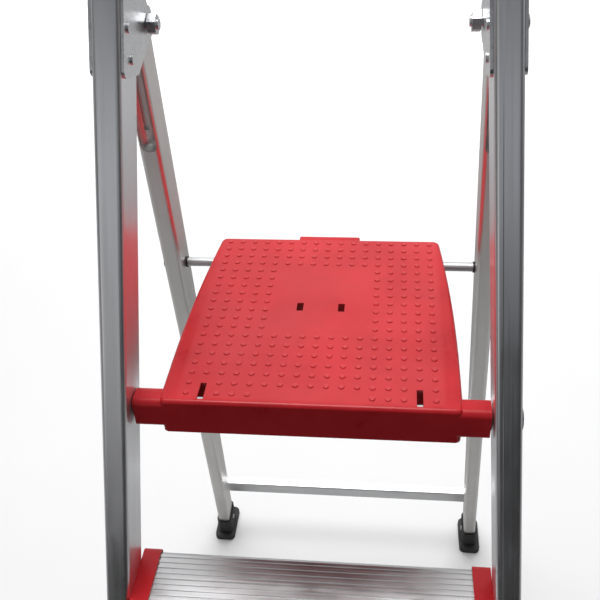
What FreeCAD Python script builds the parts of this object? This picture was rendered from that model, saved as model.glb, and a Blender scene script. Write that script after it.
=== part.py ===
import FreeCAD, Part
import math
import os

# Folding platform step ladder: leaning front rails with treads, a folding rear frame, and a
# moulded platform that turns on a through axle and rests on the rear frame's cross-bar.
# X runs across, +Y is the rear, +Z is up.  The origin is on the floor, at the centre of the base.
# Millimetres and degrees.

V = FreeCAD.Vector
ACROSS = V(1, 0, 0)
os.makedirs("parts", exist_ok=True)

# ---- driving dimensions -------------------------------------------------------------------
tread_rise = 220.0            # height from each tread to the next
tread_count = 3               # treads below the platform
platform_height = tread_rise * (tread_count + 1)
rail_lean = 17.0              # front rails lean to the rear
leg_lean = 17.3               # rear legs lean to the front
splay = 4.1                   # each side frame leans inwards by this much
rail_width = 25.4             # front rail profile, across
rail_depth = 55.0             # front rail profile, front to rear
rail_corner = 5.0
rail_wall = 1.6
leg_width = 22.4              # rear leg profile, across
leg_depth = 42.0
leg_corner = 5.0
leg_wall = 1.4
side_x = 190.4                # side frames' middle plane at platform height
rail_ahead = 1.0              # rail centre line ahead of the axle at platform height
bar_behind = 259.5            # cross-bar behind the axle
bar_drop = 18.0               # cross-bar centre below the platform's top
bar_radius = 5.5
hinge_rise = 318.0            # rear frame's hinge above the platform's top
rail_top_rise = 415.0         # end of the front rails above the platform's top
bow_rise = 606.0              # centre of the guard bow's top bar above the platform's top
bow_radius = 10.0
bow_bend = 70.0
axle_drop = 19.0              # platform axle below the platform's top
axle_radius = 8.0
running_gap = 0.06            # radial clearance of a turning fit
body_gap = 0.3                # space between bodies that only rest on each other
foot_length = 80.0
foot_width = 40.0
sole_height = 12.0
end_height = 14.0             # height at which the profiles end inside their feet
reach = 1200.0                # longer than any piece, for shapes that cut right through
overrun = 5.0                 # how far a drilled hole is started outside its piece
rivet_radius = 3.0
hole_play = 0.1               # radial room of a fixed shank in its hole

# ---- derived positions ----------------------------------------------------------------------
tan_splay = math.tan(math.radians(splay))
rail_slope = math.tan(math.radians(rail_lean)) / math.cos(math.radians(splay))
leg_slope = math.tan(math.radians(leg_lean)) / math.cos(math.radians(splay))
rail_foot_ahead = rail_ahead + rail_slope * platform_height
leg_foot_behind = bar_behind + leg_slope * (platform_height - bar_drop)
axle_y = (rail_foot_ahead - leg_foot_behind) / 2
axle_z = platform_height - axle_drop
bar_y = axle_y + bar_behind
bar_z = platform_height - bar_drop
hinge_y = bar_y - leg_slope * (hinge_rise + bar_drop)
hinge_z = platform_height + hinge_rise


def side_at(height):
    """Distance of the side frames' middle plane from the centre at a height."""
    return side_x - tan_splay * (height - platform_height)


def rail_y_at(height):
    return axle_y - rail_ahead + rail_slope * (height - platform_height)


def leg_y_at(height):
    return hinge_y - leg_slope * (height - hinge_z)


# ---- shape helpers --------------------------------------------------------------------------
def side_frame(origin, lean):
    """Axes of a right-hand profile: X across it, Y its depth and Z along it."""
    inward = FreeCAD.Rotation(V(0, 1, 0), -splay)
    backward = FreeCAD.Rotation(V(1, 0, 0), -lean)
    return FreeCAD.Placement(origin, inward.multiply(backward))


def placed(shape, placement):
    copy = shape.copy()
    copy.Placement = placement.multiply(shape.Placement)
    return copy


def mirrored(shape):
    return shape.mirror(V(0, 0, 0), ACROSS)


def rod(start, direction, length, radius):
    return Part.makeCylinder(radius, length, start, direction)


def ring(start, direction, length, radius, bore):
    return rod(start, direction, length, radius).cut(rod(start, direction, length, bore))


def centred_box(x_size, y_size, z_size, centre):
    corner = centre - V(x_size / 2, y_size / 2, z_size / 2)
    return Part.makeBox(x_size, y_size, z_size, corner)


def everything_below(height):
    return centred_box(2 * reach, 2 * reach, reach, V(0, 0, height - reach / 2))


def filleted(shape, radius, wanted):
    edges = [edge for edge in shape.Edges if wanted(edge)]
    return shape.makeFillet(radius, edges)


def along(direction):
    """Test for straight edges along a direction."""
    def test(edge):
        if not isinstance(edge.Curve, Part.Line):
            return False
        return edge.Curve.Direction.cross(direction).Length < 1e-6
    return test


def rounded_bar(width, depth, corner, low, high):
    """Bar of rounded rectangular section, from height low to high on its own Z axis."""
    blank = centred_box(width, depth, high - low, V(0, 0, (low + high) / 2))
    return filleted(blank, corner, along(V(0, 0, 1)))


def polygon_prism(points, vector):
    """Prism of a closed outline given by its corners."""
    wire = Part.makePolygon(points + [points[0]])
    return Part.Face(wire).extrude(vector)


def domed_head(start, outwards, height, radius, dome):
    """Round head standing on start, with its outer rim rounded."""
    top = start + outwards * height
    head = rod(start, outwards, height, radius)
    return filleted(head, dome, lambda edge: edge.CenterOfMass.distanceToPoint(top) < 0.01)


def rivet(start, direction, grip, head_radius=6.0):
    """Rivet with a domed head outside start, a shank of the grip's length, and a tail beyond it."""
    head = domed_head(start, direction * -1, 2.2, head_radius, 1.76)
    shank = rod(start, direction, grip, rivet_radius)
    tail = rod(start + direction * grip, direction, 2.0, rivet_radius * 1.5)
    return head.fuse([shank, tail]).removeSplitter()


def drilled(start, direction, length, radius):
    """Hole for a shank that starts at a point, begun outside it."""
    return rod(start - direction * overrun, direction, length + 2 * overrun, radius + hole_play)


def between_sides(inset):
    """Space between the rails' inner faces, drawn in by an inset on each side."""
    half_low = side_at(0) - (rail_width / 2) / math.cos(math.radians(splay)) - inset
    top = platform_height
    half_high = side_at(top) - (rail_width / 2) / math.cos(math.radians(splay)) - inset
    corners = [V(-half_low, -reach / 2, 0), V(half_low, -reach / 2, 0),
               V(half_high, -reach / 2, top), V(-half_high, -reach / 2, top)]
    return polygon_prism(corners, V(0, reach, 0))


def right_side(shape):
    """The piece of a shape on the right-hand side."""
    half = shape.common(centred_box(reach, 2 * reach, 2 * reach, V(reach / 2, 0, reach / 2)))
    return half.Solids[0]


parts = {}


def keep(name, shapes):
    solids = []
    for shape in shapes:
        solids += shape.Solids
    parts[name] = solids[0] if len(solids) == 1 else Part.makeCompound(solids)


def keep_pair(name, shape):
    keep(name + "_right", [shape])
    keep(name + "_left", [mirrored(shape)])


# ---- front rails -------------------------------------------------------------------------------
rail_axes = side_frame(V(side_x, axle_y - rail_ahead, platform_height), rail_lean)
rail_stretch = 1 / (math.cos(math.radians(rail_lean)) * math.cos(math.radians(splay)))
across_side = rail_axes.Rotation.multVec(ACROSS)
inwards_side = across_side * -1
below_start = 60.0            # profiles are drawn from below the floor, then cut off
rail_low = -(platform_height + below_start) * rail_stretch
rail_high = rail_top_rise * rail_stretch
below_ends = everything_below(end_height)
below_floor = everything_below(0)


def side_point(height, y_offset, out):
    """Point y_offset behind the right rail's centre line, and out from the side's middle plane."""
    middle = V(side_at(height), rail_y_at(height) + y_offset, height)
    return middle + across_side * out


rail_outside = placed(rounded_bar(rail_width, rail_depth, rail_corner, rail_low, rail_high), rail_axes)
rail_inside = placed(rounded_bar(rail_width - 2 * rail_wall, rail_depth - 2 * rail_wall,
                                 rail_corner - rail_wall, rail_low, rail_high), rail_axes)
rail = rail_outside.cut(rail_inside).cut(below_ends)

# ---- treads, their end brackets and rivets -------------------------------------------------------
tread_depth = 80.0
tread_height = 28.0
tread_wall = 1.6
tread_set_back = 6.0          # tread centre behind the rail's centre line
bracket_wall = 3.0
bracket_plate = 5.0
bracket_length = 20.0
tread_corner = 7.0
tread_web_offset = 6.0        # two webs, ahead of and behind the tread's middle
rib_height = 1.0
rib_width = 2.6
rib_root = 0.4                # how far a rib is sunk into the tread
rib_pitch = 7.0
rib_count = 10
tread_rivet_offsets = (-12.0, 20.0)   # behind the rail's centre line


def tread_profile(grow, corner):
    """Solid bar of the tread's section across the whole ladder, grown by an amount on every side."""
    blank = centred_box(reach, tread_depth + 2 * grow, tread_height + 2 * grow, V(0, 0, -tread_height / 2))
    return filleted(blank, corner, along(ACROSS))


def tread_blank():
    """Hollow ribbed profile, longer than any tread."""
    hollow = tread_profile(-tread_wall, tread_corner - 2)
    for web_y in (-tread_web_offset, tread_web_offset):
        hollow = hollow.cut(centred_box(reach, tread_wall, tread_height, V(0, web_y, -tread_height / 2)))
    shape = tread_profile(0, tread_corner).cut(hollow)
    ribs = []
    for index in range(rib_count):
        rib_y = (index - (rib_count - 1) / 2) * rib_pitch
        rib_middle = V(0, rib_y, (rib_height - rib_root) / 2)
        ribs.append(centred_box(reach, rib_width, rib_height + rib_root, rib_middle))
    return shape.fuse(ribs)


tread_bar = tread_blank()
bracket_space = between_sides(0)
bracket_bore = between_sides(bracket_length)
tread_space = between_sides(bracket_plate)
tread_rivets = []
for number in range(1, tread_count + 1):
    height = tread_rise * number
    middle = V(0, rail_y_at(height - tread_height / 2) + tread_set_back, height)
    tread = tread_bar.copy()
    tread.translate(middle)
    keep("tread_%d" % number, [tread.common(tread_space)])
    sleeve = tread_profile(bracket_wall, tread_corner + 2)
    sleeve.translate(middle)
    core = tread_profile(rib_height + 0.2, tread_corner + 0.5)
    core.translate(middle)
    bracket = sleeve.common(bracket_space).cut(core.common(tread_space)).cut(bracket_bore)
    bracket = right_side(bracket)
    grip = rail_width + bracket_plate
    for y_offset in tread_rivet_offsets:
        start = side_point(height - tread_height / 2, y_offset, rail_width / 2)
        shank_hole = drilled(start, inwards_side, grip, rivet_radius)
        rail = rail.cut(shank_hole)
        bracket = bracket.cut(shank_hole)
        tread_rivets.append(rivet(start, inwards_side, grip))
    keep_pair("tread_%d_bracket" % number, bracket)
keep("tread_rivets", tread_rivets + [mirrored(shape) for shape in tread_rivets])

# ---- platform axle, its washers and caps ----------------------------------------------------------
axle_rail_face = side_at(axle_z) + rail_width / 2
axle_half = axle_rail_face + 2.0
axle_bore = 6.5
axle = ring(V(-axle_half, axle_y, axle_z), ACROSS, 2 * axle_half, axle_radius, axle_bore)
keep("platform_axle", [axle])
rail = rail.cut(drilled(V(0, axle_y, axle_z), ACROSS, reach, axle_radius))
barrel_end = 176.9            # end of the platform's barrels
washer_start = barrel_end + body_gap
washer_thickness = 0.8
washer_radius = 12.0
washer_spot = V(washer_start, axle_y, axle_z)
washer = ring(washer_spot, ACROSS, washer_thickness, washer_radius, axle_radius + hole_play)
keep("axle_washers", [washer, mirrored(washer)])
axle_cap_start = axle_rail_face + 0.9
axle_cap_foot = V(axle_cap_start, axle_y, axle_z)
axle_cap = domed_head(axle_cap_foot, ACROSS, 2.3, 12.0, 1.2)
axle_seat = axle_half - axle_cap_start + hole_play
axle_cap = axle_cap.cut(rod(axle_cap_foot, ACROSS, axle_seat, axle_radius + hole_play))
keep("axle_caps", [axle_cap, mirrored(axle_cap)])

# ---- rear legs --------------------------------------------------------------------------------------
leg_axes = side_frame(V(side_at(hinge_z), hinge_y, hinge_z), -leg_lean)
leg_stretch = 1 / (math.cos(math.radians(leg_lean)) * math.cos(math.radians(splay)))
leg_low = -(hinge_z + below_start) * leg_stretch
hinge_bolt_radius = 5.0
hinge_sleeve_radius = 7.5
scoop_radius = 9.0
scoop_ahead = 1.0             # the scoop's axis lies ahead of the leg's front face
scoop_length = 200.0
scoop_low = -134.0            # lower end of the pressed scoop, measured down the leg from the hinge
slit_width = 6.0
slit_depth = 12.0
slit_start = 15.0             # above the scoop's lower end
slit_length = 180.0


def rounded_top(radius, low):
    """Everything below the hinge axis, and a round end about it."""
    lower = centred_box(2 * leg_width, 2 * radius, -low, V(0, 0, low / 2))
    return lower.fuse(rod(V(-leg_width, 0, 0), ACROSS, 2 * leg_width, radius))


def scoop(grow):
    """Groove pressed into the leg's front wall, with a ball-shaped lower end and a slit along its floor."""
    centre_y = -leg_depth / 2 - scoop_ahead
    groove = rod(V(0, centre_y, scoop_low), V(0, 0, 1), scoop_length, scoop_radius + grow)
    ball = Part.makeSphere(scoop_radius + grow, V(0, centre_y, scoop_low))
    slit_middle = V(0, centre_y + (slit_depth + grow) / 2, scoop_low + slit_start + slit_length / 2 - grow)
    slit = centred_box(slit_width + 2 * grow, slit_depth + grow, slit_length, slit_middle)
    return groove.fuse([ball, slit])


leg_outside = rounded_bar(leg_width, leg_depth, leg_corner, leg_low, leg_depth / 2)
leg_outside = leg_outside.common(rounded_top(leg_depth / 2, leg_low))
leg_inside = rounded_bar(leg_width - 2 * leg_wall, leg_depth - 2 * leg_wall, leg_corner - leg_wall,
                         leg_low, leg_depth / 2)
leg_inside = leg_inside.common(rounded_top(leg_depth / 2 - leg_wall, leg_low))
leg_inside = leg_inside.cut(scoop(leg_wall))
leg = placed(leg_outside.cut(scoop(0)).cut(leg_inside), leg_axes).cut(below_ends)
leg_outside = placed(leg_outside, leg_axes)
hinge_point = V(side_at(hinge_z), hinge_y, hinge_z)
leg = leg.cut(drilled(hinge_point - ACROSS * leg_width, ACROSS, 2 * leg_width, hinge_sleeve_radius))
leg = leg.cut(drilled(V(0, bar_y, bar_z), ACROSS, reach, bar_radius))

# ---- hinge between the front rails and the rear legs ------------------------------------------------
cheek_thickness = 2.5
cheek_axes = side_frame(hinge_point, rail_lean)
rail_to_hinge = (hinge_y - rail_y_at(hinge_z)) * math.cos(math.radians(rail_lean))
cheek_margin = 4.0            # cheek's edges inside the rail's front and rear faces
cheek_front = -rail_to_hinge - rail_depth / 2 + cheek_margin
cheek_rear = -rail_to_hinge + rail_depth / 2 - cheek_margin
cheek_half = 42.0
cheek_round = 18.0            # radius of the eye round the hinge
cheek_corner = 8.0
cheek_rivet_rise = 27.0
cheek_rivet_ahead = 12.0


def cheek_plate(side):
    """Hinge cheek in the side plane: a plate over the rail that narrows to a round eye at the hinge."""
    x = side * (rail_width / 2 + cheek_thickness / 2) - cheek_thickness / 2
    corners = [V(x, cheek_front, -cheek_half), V(x, cheek_rear, -cheek_half), V(x, 0, -cheek_round)]
    upper = [V(x, point.y, -point.z) for point in reversed(corners)]
    lines = [Part.LineSegment(corners[0], corners[1]), Part.LineSegment(corners[1], corners[2]),
             Part.Arc(corners[2], V(x, cheek_round, 0), upper[0]),
             Part.LineSegment(upper[0], upper[1]), Part.LineSegment(upper[1], upper[2]),
             Part.LineSegment(upper[2], corners[0])]
    outline = Part.Wire([line.toShape() for line in lines])
    plate = Part.Face(outline).extrude(V(cheek_thickness, 0, 0))

    def rail_corner_edge(edge):
        return along(ACROSS)(edge) and edge.CenterOfMass.y < cheek_rear - 1
    return placed(filleted(plate, cheek_corner, rail_corner_edge), cheek_axes)


cheek_outer = cheek_plate(1)
cheek_inner = cheek_plate(-1)
bolt_hole = drilled(hinge_point - ACROSS * rail_width, ACROSS, 2 * rail_width, hinge_bolt_radius)
cheek_outer = cheek_outer.cut(bolt_hole)
cheek_inner = cheek_inner.cut(bolt_hole)
hinge_rivets = []
cheek_rivet_spots = ((0.0, cheek_rivet_rise), (0.0, -cheek_rivet_rise), (cheek_rivet_ahead, 0.0))
half_grip = rail_width / 2 + cheek_thickness
for spot_ahead, spot_z in cheek_rivet_spots:
    start = cheek_axes.multVec(V(half_grip, -rail_to_hinge - spot_ahead, spot_z))
    through = drilled(start, inwards_side, 2 * half_grip, rivet_radius)
    rail = rail.cut(through)
    cheek_outer = cheek_outer.cut(through)
    cheek_inner = cheek_inner.cut(through)
    hinge_rivets.append(rivet(start, inwards_side, 2 * half_grip))
keep_pair("hinge_cheek_outer", cheek_outer)
keep_pair("hinge_cheek_inner", cheek_inner)
keep("hinge_rivets", hinge_rivets + [mirrored(shape) for shape in hinge_rivets])

bolt_reach = rail_width / 2 + cheek_thickness + 1.2   # cheeks lean, so the head stands off them
bolt_head_height = 6.4
nut_height = 8.0
thread_end = 2.0              # bolt beyond its nut
hex_across = 17.0


def hexagon(start_x, length):
    """Hexagonal prism on the hinge axis."""
    corners = []
    for index in range(6):
        angle = math.radians(60 * index + 30)
        radius = hex_across / math.sqrt(3)
        corners.append(V(start_x, hinge_y + radius * math.cos(angle), hinge_z + radius * math.sin(angle)))
    return polygon_prism(corners, V(length, 0, 0))


shank_length = 2 * bolt_reach + nut_height + thread_end
shank = rod(hinge_point - ACROSS * (shank_length - bolt_reach), ACROSS, shank_length, hinge_bolt_radius)
bolt = shank.fuse(hexagon(hinge_point.x + bolt_reach, bolt_head_height)).removeSplitter()
keep_pair("hinge_bolt", bolt)
nut = hexagon(hinge_point.x - bolt_reach - nut_height, nut_height)
nut = nut.cut(bolt_hole)
keep("hinge_nuts", [nut, mirrored(nut)])

sleeve_short = 0.8            # sleeve ends this far inside each cheek
sleeve_half = rail_width / 2 - sleeve_short
sleeve_slab = placed(centred_box(2 * sleeve_half, reach, reach, V(0, 0, 0)), cheek_axes)
sleeve = ring(hinge_point - ACROSS * rail_width, ACROSS, 2 * rail_width, hinge_sleeve_radius,
              hinge_bolt_radius + running_gap)
keep_pair("hinge_sleeve", sleeve.common(sleeve_slab))
washer_axes = side_frame(hinge_point, 0)
hinge_washer_thickness = 0.9
hinge_washer_radius = 10.0
sleeve_hole = drilled(hinge_point - ACROSS * rail_width, ACROSS, 2 * rail_width, hinge_sleeve_radius)
leg_washers = []
for start_x in (leg_width / 2, -leg_width / 2 - hinge_washer_thickness):
    disc = rod(V(start_x, 0, 0), ACROSS, hinge_washer_thickness, hinge_washer_radius)
    leg_washers.append(placed(disc, washer_axes).cut(sleeve_hole))
keep("hinge_washers", leg_washers + [mirrored(shape) for shape in leg_washers])

# ---- cross-bar that carries the platform ------------------------------------------------------------
bar_wall = 1.5
leg_face_out = side_at(bar_z) + leg_width / 2
leg_face_in = side_at(bar_z) - leg_width / 2
leg_face_gap = 0.7            # the legs' faces lean, so pieces on the bar stand off them
bar_half = leg_face_out + 3.0
cross_bar = ring(V(-bar_half, bar_y, bar_z), ACROSS, 2 * bar_half, bar_radius, bar_radius - bar_wall)
keep("rear_cross_bar", [cross_bar])
collar_length = 2.4
collar_start = V(leg_face_in - leg_face_gap - collar_length, bar_y, bar_z)
collar = ring(collar_start, ACROSS, collar_length, bar_radius + 1.3, bar_radius + hole_play)
keep("cross_bar_collars", [collar, mirrored(collar)])
bar_cap_start = V(leg_face_out + leg_face_gap, bar_y, bar_z)
bar_cap_seat = bar_half - bar_cap_start.x + hole_play
bar_cap = domed_head(bar_cap_start, ACROSS, 4.0, 8.5, 2.5)
bar_cap = bar_cap.cut(rod(bar_cap_start, ACROSS, bar_cap_seat, bar_radius + hole_play))
keep("cross_bar_caps", [bar_cap, mirrored(bar_cap)])

# ---- rear braces: channels riveted across the legs' rear faces --------------------------------------
brace_heights = (140.0, 465.0)
brace_tall = 36.0
brace_flange = 14.0
brace_wall = 1.8
brace_corner = 2.5
brace_overhang = 4.0          # brace beyond the leg on each side
brace_gap = 0.5               # the legs' rear faces are turned a little from the braces
rivet_slack = 0.2
brace_rivet_spread = 9.0
leg_back = FreeCAD.Rotation(V(1, 0, 0), leg_lean)
brace_rivets = []
for number, height in enumerate(brace_heights, start=1):
    out = side_at(height) + leg_width / 2 + brace_overhang
    face_offset = leg_depth / 2 + brace_gap
    axes = FreeCAD.Placement(V(0, leg_y_at(height), height), leg_back)
    block = centred_box(2 * out, brace_flange, brace_tall, V(0, face_offset + brace_flange / 2, 0))

    def beside_legs(edge):
        return along(ACROSS)(edge) and edge.CenterOfMass.y < face_offset + 1
    block = filleted(block, brace_corner, beside_legs)
    hollow = centred_box(2 * out, brace_flange, brace_tall - 2 * brace_wall,
                         V(0, face_offset + brace_flange / 2 + brace_wall, 0))
    brace = placed(block.cut(hollow), axes)
    for spot_z in (-brace_rivet_spread, brace_rivet_spread):
        spot = V(side_at(height + spot_z), face_offset + brace_wall, spot_z)
        start = axes.multVec(spot)
        inwards = axes.Rotation.multVec(V(0, -1, 0))
        grip = brace_wall + brace_gap + leg_wall + rivet_slack
        shank_hole = drilled(start, inwards, grip, rivet_radius)
        leg = leg.cut(shank_hole)
        brace = brace.cut(shank_hole).cut(mirrored(shank_hole))
        brace_rivets.append(rivet(start, inwards, grip, 5.5))
    keep("rear_brace_%d" % number, [brace])
keep("brace_rivets", brace_rivets + [mirrored(shape) for shape in brace_rivets])

# ---- feet --------------------------------------------------------------------------------------------
boot_wall = 3.2
boot_height = 74.0
sole_corner = 10.0
sole_edge = 3.0
groove_offsets = (-27.0, -9.0, 9.0, 27.0)
groove_width = 3.0
groove_depth = 2.0
screw_height = 48.0


def foot(axes, width, depth, corner, profile, y_at):
    """Rubber boot round the end of a profile, on a flat grooved sole."""
    low = axes.inverse().multVec(V(side_at(0), y_at(0), 0)).z
    boot = rounded_bar(width + 2 * boot_wall, depth + 2 * boot_wall, corner + boot_wall, low - 40,
                       low + boot_height)
    boot = placed(boot, axes).cut(below_floor)
    sole = centred_box(foot_width, foot_length, sole_height, V(side_at(0), y_at(0), sole_height / 2))
    sole = filleted(sole, sole_corner, along(V(0, 0, 1)))
    sole = filleted(sole, sole_edge, lambda edge: edge.CenterOfMass.z > sole_height - 0.01)
    shape = boot.fuse(sole).cut(profile.cut(below_ends))
    for y_offset in groove_offsets:
        groove_middle = V(side_at(0), y_at(0) + y_offset, 0)
        shape = shape.cut(centred_box(foot_width + 2, groove_width, 2 * groove_depth, groove_middle))
    return shape


def foot_screw(y_at, width):
    """Short screw through the boot's inner wall into the profile."""
    middle = V(side_at(screw_height), y_at(screw_height), screw_height)
    boot_face = middle + inwards_side * (width / 2 + boot_wall)
    head = domed_head(boot_face, inwards_side, 1.8, 4.5, 1.2)
    shank = rod(boot_face, across_side, boot_wall + 4, 2.0)
    return head.fuse(shank).removeSplitter()


front_foot = foot(rail_axes, rail_width, rail_depth, rail_corner, rail_outside, rail_y_at)
rear_foot = foot(leg_axes, leg_width, leg_depth, leg_corner, leg_outside, leg_y_at)
front_screw = foot_screw(rail_y_at, rail_width)
rear_screw = foot_screw(leg_y_at, leg_width)
keep_pair("front_foot", front_foot.cut(front_screw))
keep_pair("rear_foot", rear_foot.cut(rear_screw))
keep("front_foot_screws", [front_screw, mirrored(front_screw)])
keep("rear_foot_screws", [rear_screw, mirrored(rear_screw)])
rail = rail.cut(front_screw)
leg = leg.cut(rear_screw)

# ---- guard bow, and the caps that hold it in the rails' tops -------------------------------------------
bow_insert = 50.0             # bow inside the rail
bow_wall = 1.5
cap_flange = 5.0
cap_overlap = 1.5             # flange beyond the rail on every side
cap_edge = 2.0
cap_sleeve = 26.0
cap_plug = 40.0
cap_play = 0.2                # plug's room inside the rail
cap_screw_down = 20.0
rail_top = platform_height + rail_top_rise
bow_axes = side_frame(V(side_at(rail_top), rail_y_at(rail_top), rail_top), rail_lean)


def bow_path():
    """Centre line of the bow: up one side, across the top, and down the other, with two round bends."""
    top = platform_height + bow_rise
    low = bow_axes.multVec(V(0, 0, -bow_insert))
    corner = V(side_at(top), rail_y_at(top), top)
    up = (corner - low).normalize()
    turn = up.getAngle(V(-1, 0, 0))
    setback = bow_bend * math.tan(turn / 2)
    start = corner - up * setback
    end = corner + V(-setback, 0, 0)
    towards_centre = (V(-1, 0, 0) - up).normalize()
    centre = corner + towards_centre * (bow_bend / math.cos(turn / 2))
    middle = centre - towards_centre * bow_bend
    edges = [Part.LineSegment(low, start).toShape(), Part.Arc(start, middle, end).toShape(),
             Part.LineSegment(end, V(-end.x, end.y, end.z)).toShape(),
             mirrored(Part.Arc(start, middle, end).toShape()),
             mirrored(Part.LineSegment(low, start).toShape())]
    return Part.Wire(Part.__sortEdges__(edges)), low, up


def bow_pipe(radius):
    path, low, up = bow_path()
    section = Part.Wire(Part.makeCircle(radius, low, up))
    return path.makePipeShell([section], True, False)


keep("guard_bow", [bow_pipe(bow_radius).cut(bow_pipe(bow_radius - bow_wall))])
flange_width = rail_width + 2 * cap_overlap
flange = rounded_bar(flange_width, rail_depth + 2 * cap_overlap, rail_corner + cap_overlap, 0, cap_flange)
flange = filleted(flange, cap_edge, lambda edge: edge.CenterOfMass.z > cap_flange - 0.01)
cap_body = Part.makeCone(bow_radius + 5, bow_radius + 2.5, cap_sleeve, V(0, 0, cap_flange - 1))
cap_body = cap_body.common(centred_box(flange_width, reach, reach, V(0, 0, 0)))
plug_shrink = 2 * (rail_wall + cap_play)
plug_corner = rail_corner - rail_wall
plug = rounded_bar(rail_width - plug_shrink, rail_depth - plug_shrink, plug_corner, -cap_plug, 0.5)
bow_hole = drilled(V(0, 0, -bow_insert), V(0, 0, 1), bow_insert + cap_sleeve + cap_flange, bow_radius)
cap = placed(flange.fuse([cap_body, plug]).cut(bow_hole), bow_axes)
cap_screw_start = bow_axes.multVec(V(0, -rail_depth / 2, -cap_screw_down))
into_rail = bow_axes.Rotation.multVec(V(0, 1, 0))
cap_screw = rod(cap_screw_start, into_rail, 22.0, 2.2)
cap_screw_head = domed_head(cap_screw_start, into_rail * -1, 2.0, 4.8, 1.3)
cap_screw = cap_screw.fuse(cap_screw_head).removeSplitter()
keep_pair("rail_cap", cap.cut(cap_screw))
keep("rail_cap_screws", [cap_screw, mirrored(cap_screw)])
rail = rail.cut(cap_screw)
bow = parts["guard_bow"].cut(cap_screw).cut(mirrored(cap_screw))
keep("guard_bow", [bow])
keep_pair("front_rail", rail)
keep_pair("rear_leg", leg)

# ---- platform: one moulding with studs, slots, a ribbed underside and a saddle for the cross-bar ----------
# Local axes: origin on the top surface, above the axle.
plate_front = -13.5
plate_rear = 289.8
plate_half_front = 149.7
plate_half_middle = 146.3
plate_half_rear = 136.1
bow_start = 45.0              # the sides run straight to here, then curve inwards
bow_middle = 170.0
front_corner = 6.0
rear_corner = 8.0
top_edge = 4.5
skirt_front = 42.0
skirt_rear = 31.0
skirt_level = 60.0            # the underside is level to here, then rises to the rear
skirt_clear = 120.0           # depth of the space cut away below
plate_wall = 3.0
stud_pitch = 15.5
stud_columns = 17
stud_rows = 19
stud_first_row = 0.5          # front row behind the axle
stud_base = 3.3
stud_top = 2.5
stud_height = 1.1
rib_thickness = 2.4
rib_columns = (0.0, -38.75, 38.75, -77.5, 77.5, -124.0, 124.0)
rib_rows = (22.0, 62.0, 116.0, 178.0, 232.0)
rib_short = 3.0               # ribs end above the skirt's lower edge
barrel_start = 118.0
barrel_depth = 27.0
barrel_height = 34.0
grip_width = 76.0
grip_depth = 15.0
grip_height = 12.0
grip_below_top = 1.0
opening_depth = 10.0
slot_width = 6.4
slot_length = 23.5
slot_spot = V(7 * stud_pitch, 3.7, 0)
slot_front = slot_spot.y - slot_length / 2
hole_width = 7.3
hole_length = 14.4
hole_spot = V(1.5 * stud_pitch, 147.0, 0)
clip_width = 5.6
clip_thickness = 1.0
clip_play = 0.4
clip_slot_gap = 0.4
clip_sink = 0.8               # tongue's top below the platform's top
clip_lip = 3.0


def plate_outline():
    """Half straight and half bowed sides, narrowing to the rear."""
    right = [V(plate_half_front, plate_front, 0), V(plate_half_front, bow_start, 0),
             V(plate_half_middle, bow_middle, 0), V(plate_half_rear, plate_rear, 0)]
    left = [V(-point.x, point.y, 0) for point in right]
    lines = [Part.LineSegment(left[0], right[0]), Part.LineSegment(right[0], right[1]),
             Part.Arc(right[1], right[2], right[3]), Part.LineSegment(right[3], left[3]),
             Part.Arc(left[3], left[2], left[1]), Part.LineSegment(left[1], left[0])]
    return Part.Wire([line.toShape() for line in lines])


def under_cut(lift):
    """Space below the sloping underside, raised by lift."""
    ahead = plate_front - 30
    behind = plate_rear + 30
    corners = [V(-reach / 2, ahead, -skirt_front + lift), V(-reach / 2, skirt_level, -skirt_front + lift),
               V(-reach / 2, behind, -skirt_rear + lift), V(-reach / 2, behind, -skirt_clear),
               V(-reach / 2, ahead, -skirt_clear)]
    return polygon_prism(corners, V(reach, 0, 0))


def upright_corner(y_low, y_high):
    """Test for upright edges between two distances from the axle."""
    def test(edge):
        return along(V(0, 0, 1))(edge) and y_low < edge.CenterOfMass.y < y_high
    return test


def is_blank(column, row):
    """Grid places without a stud: the plain panel, the plain strip at the front, and round the slots."""
    from_centre = abs(column - (stud_columns - 1) // 2)
    panel = from_centre <= 3 and 7 <= row <= 14
    strip = from_centre <= 3 and row == 0
    slot = from_centre == 7 and row <= 1
    return panel or strip or slot


def stud():
    """Low round stud with a sloping side and a rounded shoulder, sunk a little into the surface."""
    root = -0.5
    side_end = V(stud_top + 0.35, 0, stud_height - 0.35)
    shoulder_middle = V(stud_top + 0.12, 0, stud_height - 0.1)
    shoulder_end = V(stud_top - 0.3, 0, stud_height)
    rising = [V(0, 0, root), V(stud_base, 0, root), V(stud_base, 0, 0), side_end]
    closing = [shoulder_end, V(0, 0, stud_height), rising[0]]
    edges = [Part.LineSegment(first, second) for first, second in zip(rising, rising[1:])]
    edges.append(Part.Arc(side_end, shoulder_middle, shoulder_end))
    edges += [Part.LineSegment(first, second) for first, second in zip(closing, closing[1:])]
    wire = Part.Wire([edge.toShape() for edge in edges])
    return Part.Face(wire).revolve(V(0, 0, 0), V(0, 0, 1), 360)


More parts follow.
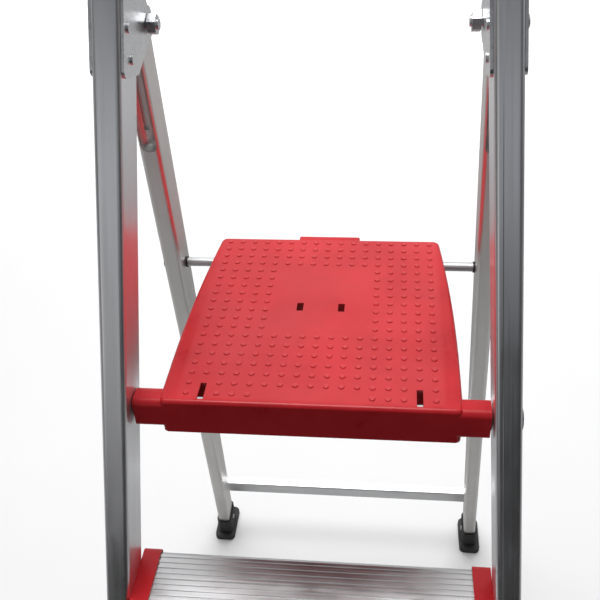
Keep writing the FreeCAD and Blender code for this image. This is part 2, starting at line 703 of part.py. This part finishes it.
def axle_clip(side):
    """Spring clip round the axle, with a tongue that rises into a slot and bends back in its front end."""
    start = V(side * slot_spot.x - clip_width / 2, 0, -axle_drop)
    outer = axle_radius + clip_play + clip_thickness
    loop = ring(start, ACROSS, clip_width, outer, axle_radius + clip_play)
    loop = loop.cut(centred_box(reach, 2 * outer, outer, V(0, outer, -axle_drop - outer / 2)))
    tongue_y = slot_front + clip_slot_gap + clip_thickness / 2
    tongue_low = -axle_drop + outer / 2 + 1.2
    tongue_size = -clip_sink - tongue_low
    tongue_middle = V(side * slot_spot.x, tongue_y, tongue_low + tongue_size / 2)
    tongue = centred_box(clip_width, clip_thickness, tongue_size, tongue_middle)
    lip_y = tongue_y - clip_thickness / 2 + clip_lip / 2
    lip_middle = V(side * slot_spot.x, lip_y, -clip_sink - clip_thickness / 2)
    lip = centred_box(clip_width, clip_lip, clip_thickness, lip_middle)
    return loop.fuse([tongue, lip]).removeSplitter()


def saddle():
    """Channel for the cross-bar: a round top, an upright rear side and a front side that opens forwards."""
    radius = bar_radius + body_gap
    rear = bar_behind + radius
    mouth_front = bar_behind - radius - 70
    slope_top = V(-reach / 2, bar_behind - radius * 0.9, -bar_drop + radius * 0.45)
    corners = [V(-reach / 2, rear, -bar_drop), V(-reach / 2, rear, -skirt_clear),
               V(-reach / 2, mouth_front, -skirt_clear), slope_top]
    round_top = rod(V(-reach / 2, bar_behind, -bar_drop), ACROSS, reach, radius)
    return round_top.fuse(polygon_prism(corners, V(reach, 0, 0)))


def barrel_block(side):
    """Block on the platform's side round the axle, rounded in front, behind and below."""
    length = barrel_end - barrel_start
    middle = V(side * (barrel_start + length / 2), 0, -axle_drop)
    block = centred_box(length, barrel_depth, barrel_height, middle)

    def upper_front(edge):
        return along(ACROSS)(edge) and edge.CenterOfMass.y < 0 and edge.CenterOfMass.z > -axle_drop

    def upper_rear(edge):
        return along(ACROSS)(edge) and edge.CenterOfMass.y > 13 and edge.CenterOfMass.z > -axle_drop

    def lower(edge):
        return along(ACROSS)(edge) and edge.CenterOfMass.z < -axle_drop - barrel_height / 2 + 1
    block = filleted(block, 7.5, upper_front)
    block = filleted(block, 11.0, upper_rear)
    return filleted(block, 5.0, lower)


outline = plate_outline()
body = Part.Face(outline).extrude(V(0, 0, -skirt_clear / 2)).cut(under_cut(0))
body = filleted(body, front_corner, upright_corner(plate_front - 1, plate_front + 1))
body = filleted(body, rear_corner, upright_corner(plate_rear - 1, plate_rear + 1))
body = filleted(body, top_edge, lambda edge: edge.BoundBox.ZMin > -0.01)
inner_face = Part.Face(outline.makeOffset2D(-plate_wall))
cavity = inner_face.extrude(V(0, 0, -skirt_clear))
cavity.translate(V(0, 0, -plate_wall))
ribs = []
for rib_x in rib_columns:
    ribs.append(centred_box(rib_thickness, reach, skirt_clear, V(rib_x, 0, 0)))
for rib_y in rib_rows:
    ribs.append(centred_box(reach, rib_thickness, skirt_clear, V(0, rib_y, 0)))
ribs = [rib.common(cavity).cut(under_cut(rib_short)) for rib in ribs]
barrels = [barrel_block(1), barrel_block(-1)]
grip_middle = V(0, plate_rear, -grip_below_top - grip_height / 2)
grip_tab = centred_box(grip_width, grip_depth, grip_height, grip_middle)
grip_tab = filleted(grip_tab, 2.0, lambda edge: edge.CenterOfMass.z > -grip_height)
platform = body.cut(cavity).fuse(ribs + barrels + [grip_tab])
platform = platform.cut(rod(V(-reach / 2, 0, -axle_drop), ACROSS, reach, axle_radius + running_gap))
platform = platform.cut(saddle())
openings = []
for side in (1, -1):
    slot_middle = V(side * slot_spot.x, slot_spot.y, 0)
    openings.append(centred_box(slot_width, slot_length, opening_depth, slot_middle))
    hole_middle = V(side * hole_spot.x, hole_spot.y, 0)
    openings.append(centred_box(hole_width, hole_length, opening_depth, hole_middle))
platform = platform.cut(openings)
studs = []
for column in range(stud_columns):
    for row in range(stud_rows):
        if is_blank(column, row):
            continue
        knob = stud()
        from_centre = column - (stud_columns - 1) / 2
        knob.translate(V(from_centre * stud_pitch, stud_first_row + row * stud_pitch, 0))
        studs.append(knob)
platform = platform.fuse(studs)
clips = Part.makeCompound([axle_clip(1), axle_clip(-1)])
for shape in (platform, clips):
    shape.translate(V(0, axle_y, platform_height))
keep("platform_shell", [platform])
keep("axle_clips", [clips])

# ---- one STEP file for each piece ----------------------------------------------------------------------
for name, shape in parts.items():
    shape.exportStep("parts/%s.step" % name)
    print(name, len(shape.Solids), "solid(s)", "valid" if shape.isValid() else "INVALID", round(shape.Volume))
print("axle", round(axle_y, 3), round(axle_z, 3), "hinge", round(hinge_y, 3), round(hinge_z, 3))
print("bar", round(bar_y, 3), round(bar_z, 3))
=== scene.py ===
import math

import bpy
import numpy as np
from mathutils import Matrix, Vector


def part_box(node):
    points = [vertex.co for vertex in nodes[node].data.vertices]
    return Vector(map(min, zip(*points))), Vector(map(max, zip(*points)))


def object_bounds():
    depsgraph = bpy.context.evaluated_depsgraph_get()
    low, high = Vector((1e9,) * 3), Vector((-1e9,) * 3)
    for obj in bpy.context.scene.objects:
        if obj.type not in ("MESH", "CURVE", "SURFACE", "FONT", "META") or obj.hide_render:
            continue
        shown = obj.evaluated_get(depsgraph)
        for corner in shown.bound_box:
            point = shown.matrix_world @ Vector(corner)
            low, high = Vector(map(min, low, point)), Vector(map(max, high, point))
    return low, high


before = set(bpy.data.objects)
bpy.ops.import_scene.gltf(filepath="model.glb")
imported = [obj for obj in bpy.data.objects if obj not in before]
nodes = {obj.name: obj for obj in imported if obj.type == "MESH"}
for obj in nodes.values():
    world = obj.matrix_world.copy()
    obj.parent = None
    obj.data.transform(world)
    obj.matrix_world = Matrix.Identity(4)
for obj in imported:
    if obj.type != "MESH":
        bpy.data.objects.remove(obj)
cad_low, cad_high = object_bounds()
scene = bpy.context.scene

UP = Vector((0, 0, 1))
ACROSS = Vector((1, 0, 0))


# ---- camera --------------------------------------------------------------------------------
# The eye is in front of the platform and above it, a little to the right of its middle.
eye_from_platform = Vector((0.0743, -0.5885, 0.5672))
view_heading = 7.4
view_pitch = 36.5
view_roll = 3.04
lens_mm = 50.26
sensor_mm = 36.0
nearest_seen = 0.01
farthest_seen = 100


def add_camera():
    low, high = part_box("platform_shell")
    front_edge = Vector(((low.x + high.x) / 2, low.y, high.z))
    data = bpy.data.cameras.new("camera")
    data.lens = lens_mm
    data.sensor_width = sensor_mm
    data.clip_start = nearest_seen
    data.clip_end = farthest_seen
    camera = bpy.data.objects.new("camera", data)
    turn = Matrix.Rotation(math.radians(view_heading), 4, "Z")
    tip = Matrix.Rotation(math.radians(90 - view_pitch), 4, "X")
    roll = Matrix.Rotation(math.radians(-view_roll), 4, "Z")
    camera.matrix_world = Matrix.Translation(front_edge + eye_from_platform) @ turn @ tip @ roll
    scene.collection.objects.link(camera)
    scene.camera = camera


# ---- material helpers ----------------------------------------------------------------------
class Graph:
    """Short calls for building a node tree."""

    # Places of the Mix node's colour sockets.
    mix_first, mix_second, mix_result = 6, 7, 2

    def __init__(self, tree):
        self.tree = tree

    def node(self, kind, inputs, **settings):
        made = self.tree.nodes.new(kind)
        for name, value in settings.items():
            setattr(made, name, value)
        for key, value in inputs.items():
            if isinstance(value, bpy.types.NodeSocket):
                self.tree.links.new(value, made.inputs[key])
            else:
                made.inputs[key].default_value = value
        return made

    def ranged(self, value, span, result, smooth=False):
        """Map a span of values onto a span of results, which it doesn't pass at either end."""
        inputs = {
            "Value": value,
            "From Min": span[0],
            "From Max": span[1],
            "To Min": result[0],
            "To Max": result[1],
        }
        curve = "SMOOTHSTEP" if smooth else "LINEAR"
        made = self.node("ShaderNodeMapRange", inputs, interpolation_type=curve)
        return made.outputs["Result"]

    def math(self, operation, first, second=0.0):
        return self.node("ShaderNodeMath", {0: first, 1: second}, operation=operation).outputs[0]

    def times(self, first, second):
        return self.math("MULTIPLY", first, second)

    def plus(self, first, second):
        return self.math("ADD", first, second)

    def shared(self, share, first, second):
        """A share of the first value and the rest of the second."""
        return self.plus(self.times(first, share), self.times(second, 1 - share))

    def mixed(self, share, first, second):
        inputs = {"Factor": share, self.mix_first: first, self.mix_second: second}
        made = self.node("ShaderNodeMix", inputs, data_type="RGBA")
        return made.outputs[self.mix_result]

    def split(self, vector):
        return self.node("ShaderNodeSeparateXYZ", {0: vector}).outputs


class Surface(Graph):
    """A Principled material whose textures lie in the ladder's own frame."""

    def __init__(self, name, **values):
        self.material = bpy.data.materials.new(name)
        self.material.use_nodes = True
        super().__init__(self.material.node_tree)
        self.shader = self.tree.nodes["Principled BSDF"]
        for socket, value in values.items():
            self.shader.inputs[socket.replace("_", " ")].default_value = value
        self.place = self.node("ShaderNodeTexCoord", {}).outputs["Object"]
        self.bumps = None

    def turned(self, axis):
        """Coordinates turned so that their Z runs along an axis of the object."""
        inputs = {"Vector": self.place, "Rotation": axis.rotation_difference(UP).to_euler()}
        return self.node("ShaderNodeMapping", inputs).outputs[0]

    def scaled(self, vector, scale):
        return self.node("ShaderNodeMapping", {"Vector": vector, "Scale": scale}).outputs[0]

    def noise(self, vector, scale, detail=2.0, roughness=0.5):
        inputs = {"Vector": vector, "Scale": scale, "Detail": detail, "Roughness": roughness}
        return self.node("ShaderNodeTexNoise", inputs).outputs["Fac"]

    def bump(self, height, depth, strength):
        """Add a bump of a depth in metres on top of the earlier ones."""
        inputs = {"Height": height, "Distance": depth, "Strength": strength}
        if self.bumps is not None:
            inputs["Normal"] = self.bumps
        self.bumps = self.node("ShaderNodeBump", inputs).outputs[0]

    def finish(self, colour, roughness=None):
        links = {"Base Color": colour, "Roughness": roughness, "Normal": self.bumps}
        for name, value in links.items():
            if value is not None:
                self.tree.links.new(value, self.shader.inputs[name])
        return self.material


def length_axis(node):
    """Direction in which a node is longest, from the spread of its vertices."""
    points = np.array([vertex.co for vertex in nodes[node].data.vertices])
    axis = Vector(np.linalg.svd(points - points.mean(axis=0), full_matrices=False)[2][0])
    return axis if axis.z >= 0 else -axis


def paint(material, *names):
    for name in names:
        slots = nodes[name].data.materials
        slots.clear()
        slots.append(material)


# ---- metals --------------------------------------------------------------------------------
# Each profile metal has its clean colour, its cloudy colour and its least and most roughness.
rail_finish = (0.84, 0.845, 0.865, 1), (0.75, 0.755, 0.775, 1), (0.26, 0.40)
leg_finish = (0.82, 0.81, 0.79, 1), (0.71, 0.70, 0.68, 1), (0.34, 0.48)
tread_finish = (0.82, 0.83, 0.84, 1), (0.68, 0.69, 0.70, 1), (0.26, 0.40)
tube_finish = (0.76, 0.77, 0.78, 1), (0.62, 0.63, 0.645, 1), (0.30, 0.42)
dull_tube_finish = (0.76, 0.77, 0.78, 1), (0.62, 0.63, 0.645, 1), (0.46, 0.58)

zinc_light = (0.80, 0.81, 0.83, 1)
zinc_dark = (0.55, 0.56, 0.57, 1)


def extruded(name, axis, finish):
    """Mill-finish aluminium profile: die lines along it, cloudy patches and a few scuffs."""
    light, dark, gloss = finish
    metal = Surface(name, Metallic=1.0, Anisotropic=0.3)
    turned = metal.turned(axis)
    line_place = metal.scaled(turned, (1, 1, 0.004))
    coarse_place = metal.scaled(turned, (1, 1, 0.012))
    cloud_place = metal.scaled(turned, (1, 1, 0.35))
    scuff_place = metal.scaled(turned, (1, 0.25, 0.06))
    lines = metal.noise(line_place, scale=420, detail=3, roughness=0.6)
    coarse_lines = metal.noise(coarse_place, scale=90)
    clouds = metal.noise(cloud_place, scale=22, detail=3, roughness=0.6)
    scuffs = metal.noise(scuff_place, scale=260, detail=5, roughness=0.7)
    scuff_marks = metal.ranged(scuffs, (0.64, 0.72), (0, 1))
    cloudiness = metal.shared(0.8, clouds, coarse_lines)
    colour = metal.mixed(metal.ranged(cloudiness, (0.35, 0.65), (0, 1)), dark, light)
    scuff_roughness = metal.times(scuff_marks, 0.08)
    rough = metal.ranged(metal.times(lines, clouds), (0.12, 0.4), gloss)
    rough = metal.plus(rough, scuff_roughness)
    metal.bump(lines, depth=0.00002, strength=0.5)
    metal.bump(coarse_lines, depth=0.00003, strength=0.5)
    metal.bump(scuff_marks, depth=0.00002, strength=0.4)
    return metal.finish(colour, rough)


def zinc_steel():
    """Bright zinc plate with a faint spangle."""
    metal = Surface("zinc_plate", Metallic=1.0)
    cells = metal.node("ShaderNodeTexVoronoi", {"Vector": metal.place, "Scale": 260})
    spangle = metal.node("ShaderNodeSeparateColor", {0: cells.outputs["Color"]}).outputs[0]
    clouds = metal.noise(metal.place, scale=60, detail=4, roughness=0.6)
    tone = metal.shared(0.25, spangle, clouds)
    colour = metal.mixed(metal.ranged(tone, (0.25, 0.75), (0, 1)), zinc_dark, zinc_light)
    metal.bump(clouds, depth=0.00004, strength=0.4)
    return metal.finish(colour, metal.ranged(tone, (0.2, 0.8), (0.22, 0.42)))


# ---- plastics and rubber -------------------------------------------------------------------
deep_red = (0.50, 0.010, 0.016, 1)
bright_red = (0.60, 0.015, 0.023, 1)
# Pale red for scratches and wear, and for the painted sheen on the studded area.
wear_and_sheen_red = (0.70, 0.10, 0.11, 1)
nylon_dark = (0.018, 0.018, 0.020, 1)
nylon_light = (0.045, 0.045, 0.048, 1)
rubber_black = (0.028, 0.028, 0.029, 1)
dust_grey = (0.16, 0.15, 0.14, 1)

scratch_heading = Vector((0.5, 0.8, 0.1)).normalized()

# The platform's studded area, in metres.
stud_height = 0.0011
studs_half_width = 0.130
studs_from_front = 0.010
studs_from_rear = 0.014
soft_edge = 0.006


def add_wear_and_sheen(plastic, colour, rough):
    """Make the platform's studded area pale and dull, most on the studs' tops: wear, and a painted
    sheen of the bright surround in its colour.
    """
    low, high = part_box("platform_shell")
    front, rear = low.y + studs_from_front, high.y - studs_from_rear
    top = high.z - stud_height
    x, y, z = plastic.split(plastic.place)[:3]
    edges = (
        (plastic.math("ABSOLUTE", x), (studs_half_width, studs_half_width + soft_edge), (1, 0)),
        (y, (front - soft_edge, front), (0, 1)),
        (y, (rear, rear + soft_edge), (1, 0)),
    )
    inside = plastic.ranged(z, (top - 0.002, top - 0.001), (0, 1))
    for place, span, result in edges:
        inside = plastic.times(inside, plastic.ranged(place, span, result, smooth=True))
    raised = plastic.ranged(z, (top + 0.6 * stud_height, top + stud_height), (0, 0.15))
    wear_and_sheen_noise = plastic.noise(plastic.place, scale=9, detail=5, roughness=0.6)
    wear_and_sheen = plastic.plus(plastic.ranged(wear_and_sheen_noise, (0.3, 0.7), (0.07, 0.24)), raised)
    # Painted sheen: the studded area, most of all the studs' tops, is paler red, partly from wear
    # and partly as a painted reflection of the bright surround.
    colour = plastic.mixed(plastic.times(inside, wear_and_sheen), colour, wear_and_sheen_red)
    return colour, plastic.plus(rough, plastic.times(inside, 0.10))


def moulded_red(name, with_wear_and_sheen=False):
    """Semi-gloss moulded plastic with spark grain, flow clouds and scratches."""
    plastic = Surface(name, IOR=1.39)
    clouds = plastic.noise(plastic.place, scale=14, detail=3, roughness=0.55)
    grain = plastic.noise(plastic.place, scale=1400, roughness=0.6)
    orange_peel = plastic.noise(plastic.place, scale=160)
    scratch_place = plastic.scaled(plastic.turned(scratch_heading), (1, 1, 0.03))
    scratch_noise = plastic.noise(scratch_place, scale=330, detail=3, roughness=0.6)
    scratches = plastic.ranged(scratch_noise, (0.66, 0.72), (0, 1))
    colour = plastic.mixed(plastic.ranged(clouds, (0.35, 0.65), (0, 1)), deep_red, bright_red)
    unevenness = plastic.plus(clouds, plastic.times(grain, 0.3))
    rough = plastic.ranged(unevenness, (0.4, 0.85), (0.24, 0.36))
    # The studded area gets wear and a painted sheen in its colour.
    if with_wear_and_sheen:
        colour, rough = add_wear_and_sheen(plastic, colour, rough)
    colour = plastic.mixed(plastic.times(scratches, 0.2), colour, wear_and_sheen_red)
    rough = plastic.plus(rough, plastic.times(scratches, 0.1))
    plastic.bump(grain, depth=0.00003, strength=0.5)
    plastic.bump(orange_peel, depth=0.00008, strength=0.35)
    plastic.bump(scratches, depth=0.00003, strength=-0.4)
    return plastic.finish(colour, rough)


def dark_plastic():
    plastic = Surface("nylon_black")
    grain = plastic.noise(plastic.place, scale=1100, detail=3, roughness=0.6)
    clouds = plastic.noise(plastic.place, scale=35, detail=3)
    plastic.bump(grain, depth=0.00005, strength=0.5)
    rough = plastic.ranged(clouds, (0.3, 0.7), (0.38, 0.55))
    return plastic.finish(plastic.mixed(clouds, nylon_dark, nylon_light), rough)


def foot_rubber():
    """Black rubber, dusty near the floor."""
    rubber = Surface("foot_rubber")
    grain = rubber.noise(rubber.place, scale=800, detail=4, roughness=0.7)
    dust = rubber.noise(rubber.place, scale=30, detail=5, roughness=0.65)
    near_floor = rubber.ranged(rubber.split(rubber.place)["Z"], (0.0, 0.03), (1, 0))
    dusty = rubber.times(near_floor, rubber.ranged(dust, (0.4, 0.7), (0, 0.6)))
    rubber.bump(grain, depth=0.00015, strength=0.5)
    rough = rubber.ranged(dust, (0.3, 0.7), (0.62, 0.85))
    return rubber.finish(rubber.mixed(dusty, rubber_black, dust_grey), rough)


# ---- painting ------------------------------------------------------------------------------
def paint_frame():
    for stem, finish in (("front_rail", rail_finish), ("rear_leg", leg_finish)):
        for side in ("left", "right"):
            node = f"{stem}_{side}"
            paint(extruded(f"{node}_metal", length_axis(node), finish), node)
    cross_wise = extruded("tread_metal", ACROSS, tread_finish)
    paint(cross_wise, "tread_1", "tread_2", "tread_3", "rear_brace_1", "rear_brace_2")
    paint(extruded("guard_bow_metal", UP, tube_finish), "guard_bow")
    cross_tube = extruded("cross_tube_metal", ACROSS, dull_tube_finish)
    paint(cross_tube, "rear_cross_bar", "platform_axle")
    # The platform's studded area carries a painted sheen besides its wear.
    paint(moulded_red("platform_red", with_wear_and_sheen=True), "platform_shell")
    by_slot = {
        "red_plastic": moulded_red("trim_red"),
        "zinc_steel": zinc_steel(),
        "black_plastic": dark_plastic(),
        "black_rubber": foot_rubber(),
        "rivet_aluminium": extruded("rivet_metal", ACROSS, tube_finish),
    }
    for name, node in nodes.items():
        slot = node.data.materials[0].name
        if slot in by_slot:
            paint(by_slot[slot], name)


# ---- studio --------------------------------------------------------------------------------
white = (1, 1, 1, 1)
pale_grey = (0.86, 0.86, 0.87, 1)
pale_white = (0.90, 0.90, 0.90, 1)
cool_tint = (0.88, 0.93, 1.0)

floor_half = 15.0
floor_below_feet = 0.0005

# The floor's glow for the camera starts and is full at these distances from the ladder.
glow_span = (1.5, 6.0)

# What the floor reflects of other rays than the camera's, as a sum of ramps. It is dark in
# front of the ladder, brightest beside and behind it, and lighter to the left.
bounce_ramps = (
    ("Y", (-1.0, -0.4), (0.02, 0.36), True),
    ("Y", (-0.4, 0.3), (0, 0.10), False),
    ("Y", (0.4, 0.8), (0, -0.20), False),
    ("Y", (1.2, 2.4), (0, 0.20), False),
    ("X", (-2.2, -1.3), (0.22, 0), False),
)


def area_light(name, place, target, size, power, mirrored=True, tint=(1, 1, 1)):
    """A card that the camera doesn't see, nor a reflection unless it is mirrored."""
    data = bpy.data.lights.new(name, "AREA")
    data.shape = "RECTANGLE"
    data.size, data.size_y = size
    data.energy = power
    data.color = tint
    lamp = bpy.data.objects.new(name, data)
    place = Vector(place)
    lamp.rotation_euler = (Vector(target) - place).to_track_quat("-Z", "Y").to_euler()
    lamp.location = place
    lamp.visible_camera = False
    lamp.visible_glossy = mirrored
    scene.collection.objects.link(lamp)


def world_light():
    """White surround for the camera. As light it is brighter above and behind the ladder."""
    world = bpy.data.worlds.new("studio")
    scene.world = world
    world.use_nodes = True
    graph = Graph(world.node_tree)
    direction = graph.split(graph.node("ShaderNodeTexCoord", {}).outputs["Generated"])
    behind = graph.ranged(direction["Y"], (-0.6, 0.6), (0.08, 0.56), smooth=True)
    above = graph.ranged(direction["Z"], (0.2, 1.0), (0.0, 0.3), smooth=True)
    seen = graph.node("ShaderNodeLightPath", {}).outputs["Is Camera Ray"]
    unseen = graph.math("SUBTRACT", 1.0, seen)
    strength = graph.plus(graph.times(graph.plus(behind, above), unseen), seen)
    background = world.node_tree.nodes["Background"]
    world.node_tree.links.new(strength, background.inputs["Strength"])
    background.inputs["Color"].default_value = white


def add_floor():
    mesh = bpy.data.meshes.new("floor")
    corners = [(-1, -1), (1, -1), (1, 1), (-1, 1)]
    mesh.from_pydata([(x * floor_half, y * floor_half, 0) for x, y in corners], [], [(0, 1, 2, 3)])
    floor = bpy.data.objects.new("floor", mesh)
    floor.location.z = cad_low.z - floor_below_feet
    scene.collection.objects.link(floor)
    pale = Surface("studio_floor", Roughness=0.9)
    seen = pale.node("ShaderNodeLightPath", {}).outputs["Is Camera Ray"]
    albedo = pale.mixed(pale.noise(pale.place, scale=3), pale_grey, pale_white)
    position = pale.split(pale.place)
    bounce = 0.0
    for axis, span, result, smooth in bounce_ramps:
        bounce = pale.plus(bounce, pale.ranged(position[axis], span, result, smooth))
    distance = pale.node("ShaderNodeVectorMath", {0: pale.place}, operation="LENGTH")
    glow = pale.ranged(distance.outputs["Value"], glow_span, (0, 1), smooth=True)
    pale.shader.inputs["Emission Color"].default_value = white
    pale.tree.links.new(pale.times(seen, glow), pale.shader.inputs["Emission Strength"])
    floor.data.materials.append(pale.finish(pale.mixed(seen, bounce, albedo)))


def light_studio():
    middle = (cad_low + cad_high) / 2
    platform = (middle.x, middle.y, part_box("platform_shell")[1].z)
    lamps = (
        {
            "name": "key_overhead",
            "place": (-0.2, 0.2, 3.4),
            "target": platform,
            "size": (1.4, 1.0),
            "power": 39.5,
        },
        {
            "name": "rear_floor",
            "place": (0.0, 3.2, 3.0),
            "target": (0.0, 2.6, 0.0),
            "size": (4.0, 2.0),
            "power": 80,
            "mirrored": False,
        },
        {
            "name": "front_card",
            "place": (0.4, -3.4, 1.6),
            "target": platform,
            "size": (3.0, 1.0),
            "power": 3.2,
            "tint": cool_tint,
        },
        {
            "name": "front_left_card",
            "place": (-1.7, -3.0, 0.8),
            "target": (0.0, 0.0, 0.8),
            "size": (1.6, 2.4),
            "power": 6,
        },
    )
    for lamp in lamps:
        area_light(**lamp)


# ---- build ---------------------------------------------------------------------------------
scene.view_settings.view_transform = "Standard"
add_camera()
paint_frame()
world_light()
add_floor()
light_studio()
